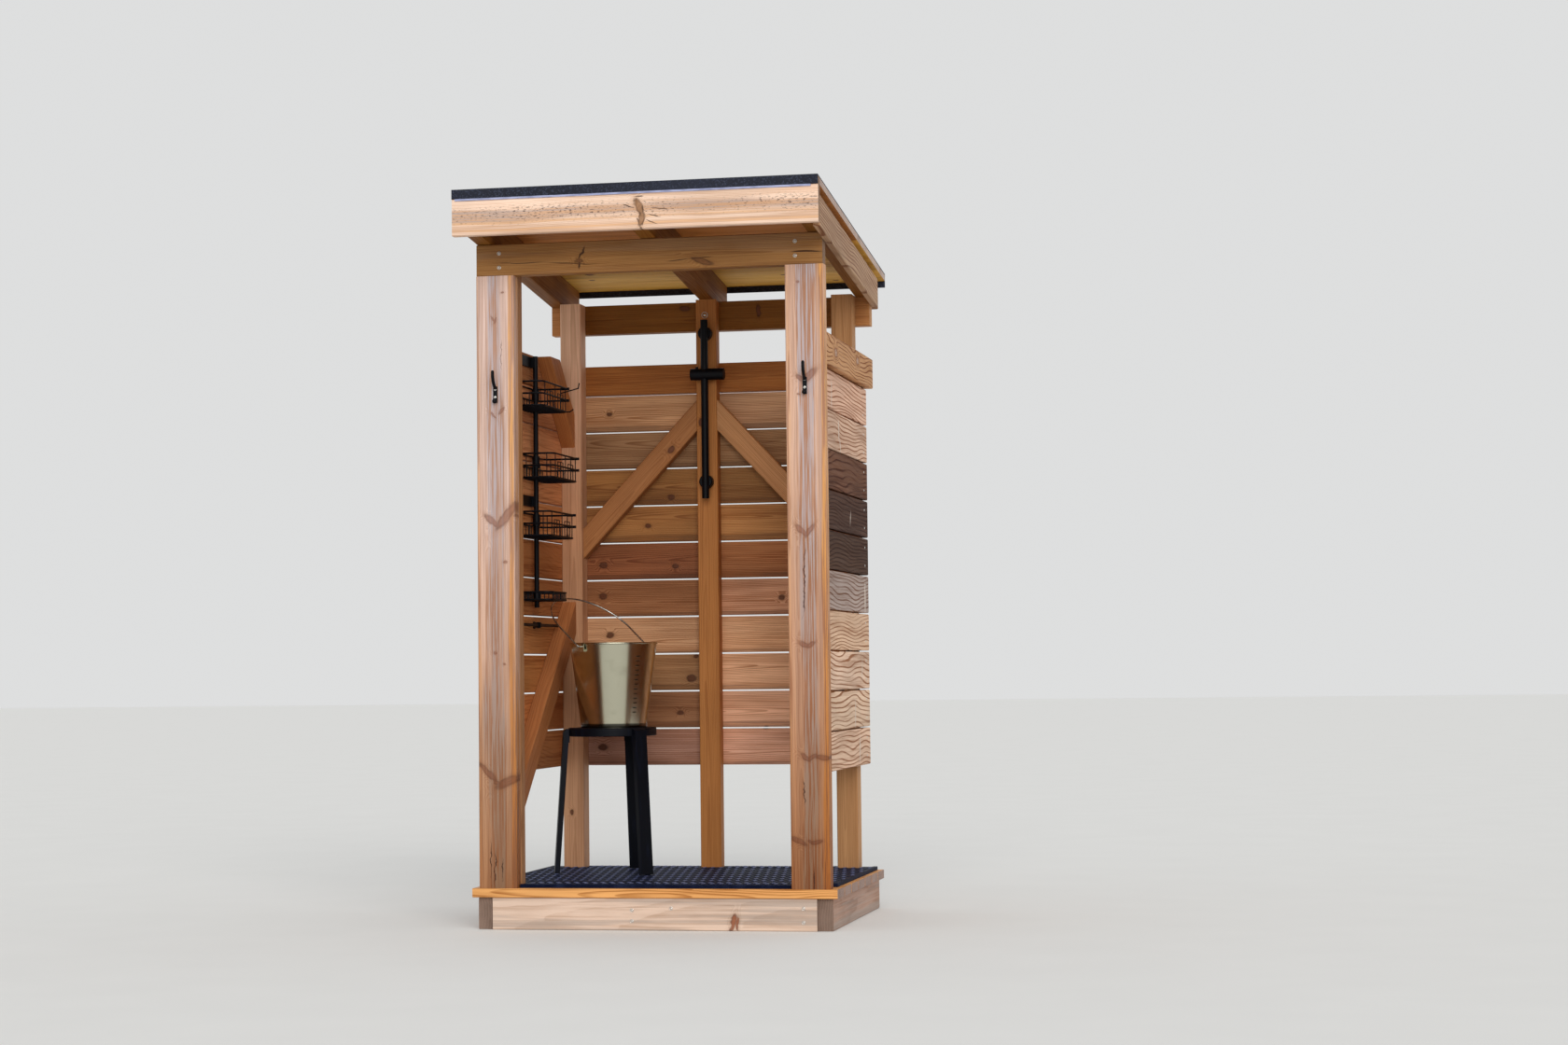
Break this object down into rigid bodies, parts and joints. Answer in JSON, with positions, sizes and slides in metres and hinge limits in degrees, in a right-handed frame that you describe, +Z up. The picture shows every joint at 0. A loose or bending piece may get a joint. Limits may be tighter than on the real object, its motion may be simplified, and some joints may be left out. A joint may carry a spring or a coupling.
{
  "type": "outdoor shower stall",
  "caption": "Open-fronted timber shower stall: boarded walls on studs and braces, sloping felt roof, board floor with a mat, shower rail, wire caddy, hooks, stool and bucket",
  "frame": {"origin": "on the ground under the middle of the roof", "axes": "+X to the right as seen from the open front, +Y to the back wall, +Z up"},
  "size_m": [1.144, 1.243, 2.2664],
  "materials": {
    "grey_timber": "weathered sawn",
    "floor_timber": "oiled planed",
    "pale_timber": "planed",
    "brushed_timber": "brushed",
    "frame_timber": "stained",
    "felt": "mineral surfaced",
    "mat": "raised mesh",
    "black_metal": "satin",
    "black_wood": "painted",
    "steel": "polished"
  },
  "bodies": {
    "stall": {"base_front_joist": "grey_timber", "base_rear_joist": "grey_timber", "base_side_joists": "grey_timber", "base_inner_joists": "grey_timber", "floor_boards": "floor_timber", "front_left_plank": "pale_timber", "front_right_plank": "pale_timber", "front_left_stud": "frame_timber", "front_right_stud": "frame_timber", "header_beam": "frame_timber", "rear_left_post": "frame_timber", "rear_right_post": "frame_timber", "rear_middle_post": "frame_timber", "rear_top_rail": "frame_timber", "left_wall_boards": "brushed_timber", "right_wall_boards": "brushed_timber", "rear_wall_boards": "brushed_timber", "left_wall_rail": "frame_timber", "right_wall_rail": "frame_timber", "rear_wall_rail": "frame_timber", "left_wall_braces": "frame_timber", "right_wall_braces": "frame_timber", "rear_wall_braces": "frame_timber", "left_rafter": "frame_timber", "right_rafter": "frame_timber", "middle_rafter": "frame_timber", "roof_boards": "frame_timber", "roof_felt": "felt", "front_felt_strip": "felt", "eave_felt_strip": "felt", "front_fascia": "pale_timber", "right_barge_board": "pale_timber", "rubber_mat": "mat", "shower_rail": "black_metal", "rail_brackets": "black_metal", "coat_hooks": "black_metal", "caddy_pole": "black_metal", "top_basket": "black_metal", "middle_basket": "black_metal", "bottom_basket": "black_metal", "caddy_rack": "black_metal", "towel_bar": "black_metal", "stool_seat": "black_wood", "stool_legs": "black_wood", "bucket": "steel"},
    "holder": {"rail_holder": "black_metal"},
    "bail": {"bucket_bail": "steel"}
  },
  "joints": [
    {"name": "holder_slide", "type": "slide", "parent": "stall", "child": "holder", "axis": [0, 0, 1], "range_m": [-0.31, 0.09]},
    {"name": "bail_swing", "type": "hinge", "parent": "stall", "child": "bail", "pos_m": [-0.26, 0.1085, 0.87], "axis": [0.5, 0.866, 0], "range_deg": [0, 138]}
  ]
}
